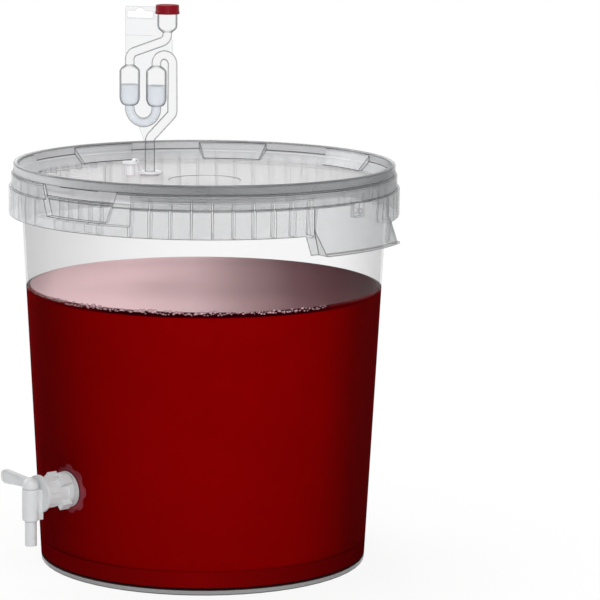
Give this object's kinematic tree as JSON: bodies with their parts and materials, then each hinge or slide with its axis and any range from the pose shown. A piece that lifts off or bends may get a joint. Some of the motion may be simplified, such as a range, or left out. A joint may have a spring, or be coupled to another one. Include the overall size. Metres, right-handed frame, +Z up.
{
  "type": "fermentation bucket with airlock",
  "caption": "Translucent fermentation bucket with press-on lid, grab handles, S-bend airlock in a soft bung, lever tap and red wine inside.",
  "frame": {"origin": "centre of the whole object's outline on the surface that the bucket stands on, tap and handles included; the bucket's own axis is 10.4 mm behind it", "axes": "+Z up, X from handle to handle, -Y towards the front with the pry notch and the tap"},
  "size_m": [0.3984, 0.394, 0.5317],
  "materials": {
    "bucket_polypropylene": "moulded, translucent",
    "lid_polypropylene": "moulded, translucent",
    "bung_soft_plastic": "soft, satin",
    "airlock_polystyrene": "crystal clear",
    "cap_plastic": "moulded",
    "water": "liquid",
    "red_wine": "liquid",
    "tap_polypropylene": "moulded",
    "washer_silicone": "clear"
  },
  "bodies": {
    "bucket": {"bucket": "bucket_polypropylene", "wine": "red_wine", "tap_body": "tap_polypropylene", "tap_washer_outer": "washer_silicone", "tap_washer_inner": "washer_silicone", "tap_nut": "tap_polypropylene"},
    "lid": {"lid": "lid_polypropylene"},
    "bung": {"bung": "bung_soft_plastic"},
    "stopper": {"stopper_strap": "bung_soft_plastic"},
    "airlock": {"airlock_body": "airlock_polystyrene", "airlock_water": "water"},
    "cap": {"airlock_cap": "cap_plastic"},
    "tap_core": {"tap_core": "tap_polypropylene"}
  },
  "joints": [
    {"name": "lid_lift", "type": "slide", "parent": "bucket", "child": "lid", "axis": [0, 0, 1], "range_m": [0, 0.15]},
    {"name": "bung_pull", "type": "slide", "parent": "lid", "child": "bung", "axis": [0, 0, 1], "range_m": [0, 0.04]},
    {"name": "stopper_strap_bend", "type": "hinge", "parent": "bung", "child": "stopper", "pos_m": [-0.07006, -0.00167, 0.3702], "axis": [-0.9962, 0.0872, 0], "range_deg": [0, 50]},
    {"name": "airlock_pull", "type": "slide", "parent": "bung", "child": "airlock", "axis": [0, 0, 1], "range_m": [0, 0.06]},
    {"name": "cap_pull", "type": "slide", "parent": "airlock", "child": "cap", "axis": [0, 0, 1], "range_m": [0, 0.03]},
    {"name": "tap_turn", "type": "hinge", "parent": "bucket", "child": "tap_core", "pos_m": [-0.04238, -0.18896, 0.088], "axis": [0, 0, 1], "range_deg": [0, 180]}
  ]
}
